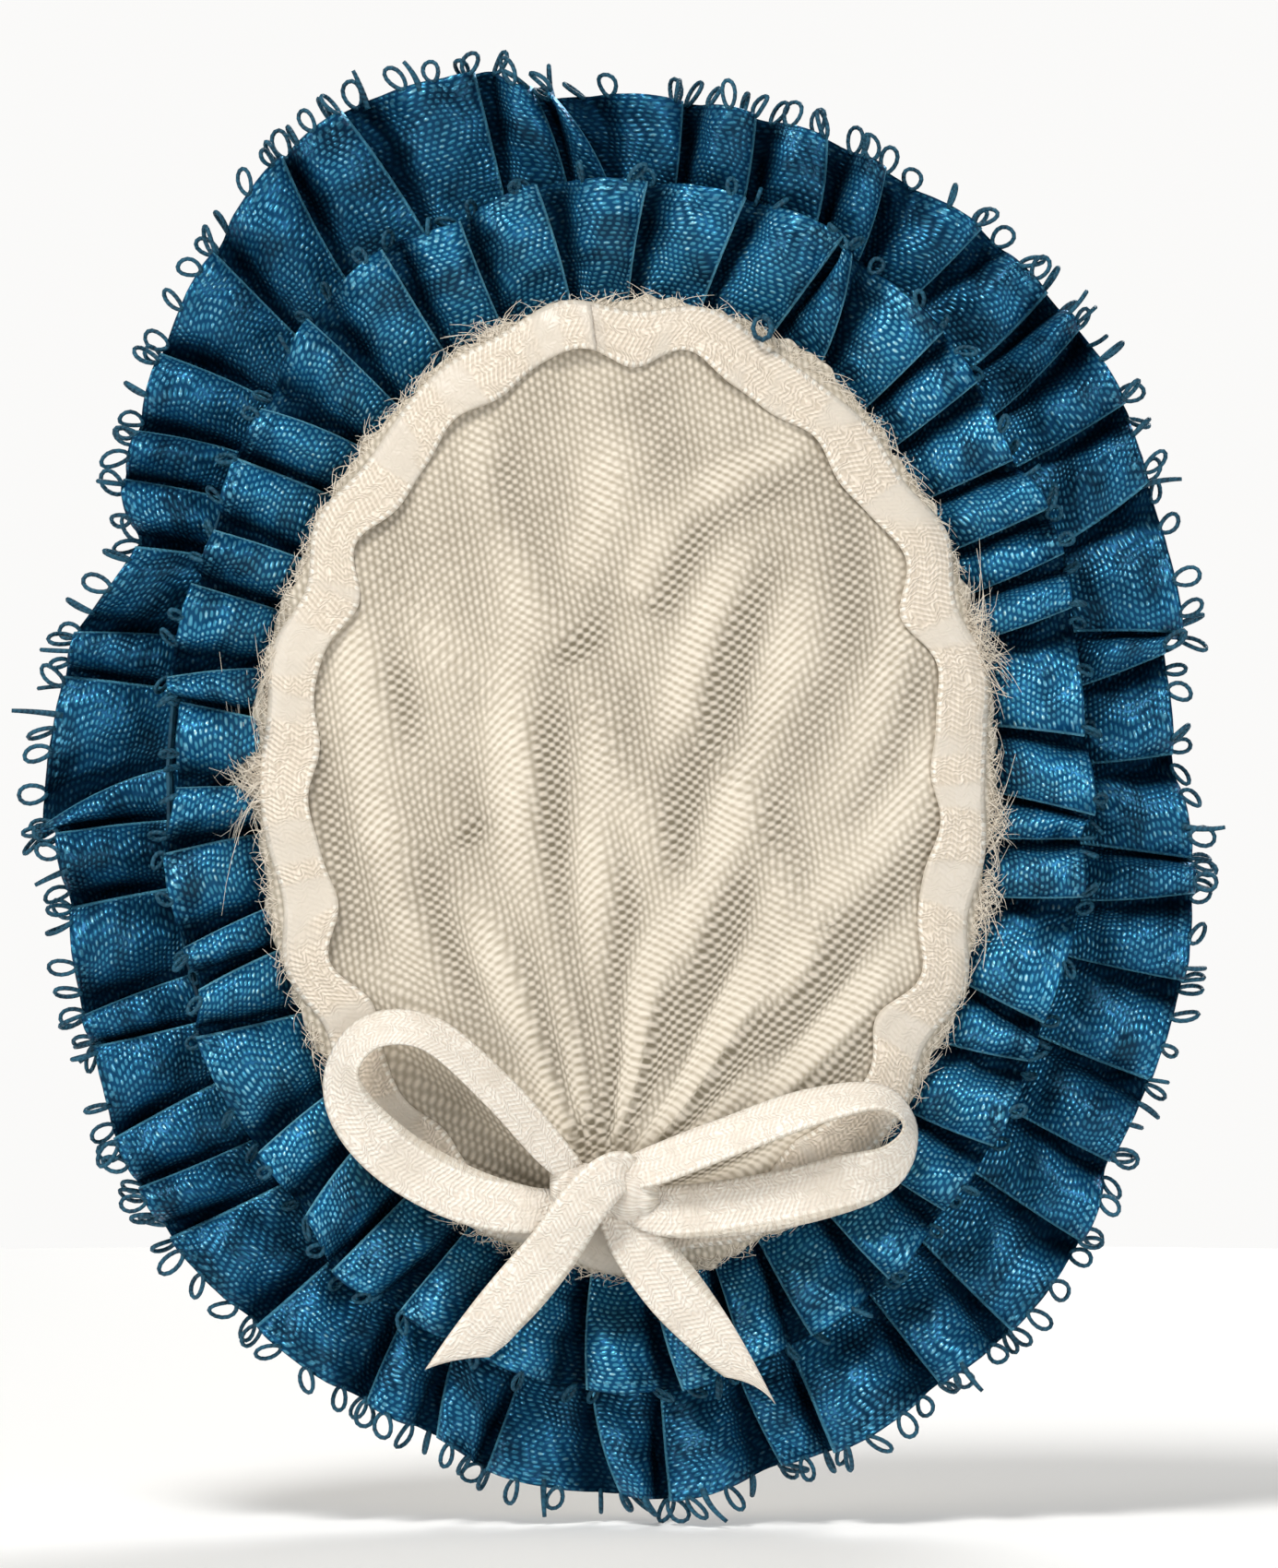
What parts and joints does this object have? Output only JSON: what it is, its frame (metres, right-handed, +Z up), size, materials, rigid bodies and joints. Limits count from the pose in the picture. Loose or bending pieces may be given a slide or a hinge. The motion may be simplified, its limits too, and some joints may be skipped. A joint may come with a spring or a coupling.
{
  "type": "award ribbon rosette",
  "caption": "Oval award rosette of pleated picot-edge ribbon round a padded silk centre with a ribbon trim and bow, and a hinged bar pin on its felt back.",
  "frame": {"origin": "middle of the felt back's rear face, which lies against the garment", "axes": "+Z up as the rosette is worn, +Y backwards into the garment, +X to the right as it is seen from the front"},
  "size_m": [0.0768, 0.0161, 0.0938],
  "materials": {
    "blue_satin": "glossy woven satin",
    "ivory_silk": "plain-woven silk with a soft sheen",
    "ivory_satin": "soft narrow satin ribbon",
    "ivory_felt": "matte wool felt",
    "blue_thread": "matte twisted cotton",
    "ivory_thread": "matte twisted cotton",
    "grey_card": "uncoated pulp board",
    "wadding": "loose cotton wadding",
    "nickel": "satin nickel plate"
  },
  "bodies": {
    "root": {"felt_back": "ivory_felt", "felt_whip_stitching": "ivory_thread", "base_card": "grey_card", "rear_ruffle_ribbon": "blue_satin", "rear_ruffle_thread": "blue_thread", "front_ruffle_ribbon": "blue_satin", "front_ruffle_thread": "blue_thread", "centre_card": "grey_card", "centre_padding": "wadding", "silk_cover": "ivory_silk", "trim_ribbon": "ivory_satin", "bow_knot": "ivory_satin", "bow_left_loop": "ivory_satin", "bow_right_loop": "ivory_satin", "pin_bar": "nickel", "pin_rivet": "nickel", "pin_lashing_left": "ivory_thread", "pin_lashing_right": "ivory_thread"},
    "stem": {"pin_stem": "nickel"},
    "sleeve": {"catch_sleeve": "nickel"},
    "left_tail": {"bow_left_tail": "ivory_satin"},
    "right_tail": {"bow_right_tail": "ivory_satin"}
  },
  "joints": [
    {"name": "stem_hinge", "type": "hinge", "parent": "root", "child": "stem", "pos_m": [-0.0133, 0.00335, 0.02], "axis": [0, 0, 1], "range_deg": [0, 100]},
    {"name": "catch_turn", "type": "hinge", "parent": "root", "child": "sleeve", "pos_m": [0.0123, 0.00335, 0.02], "axis": [-1, 0, 0], "range_deg": [0, 84]},
    {"name": "left_tail_lift", "type": "hinge", "parent": "root", "child": "left_tail", "pos_m": [-0.003, -0.0072, -0.0276], "axis": [-0.7314, 0, 0.682], "range_deg": [0, 60]},
    {"name": "right_tail_lift", "type": "hinge", "parent": "root", "child": "right_tail", "pos_m": [0, -0.0072, -0.0276], "axis": [-0.7547, 0, -0.6561], "range_deg": [0, 60]}
  ]
}
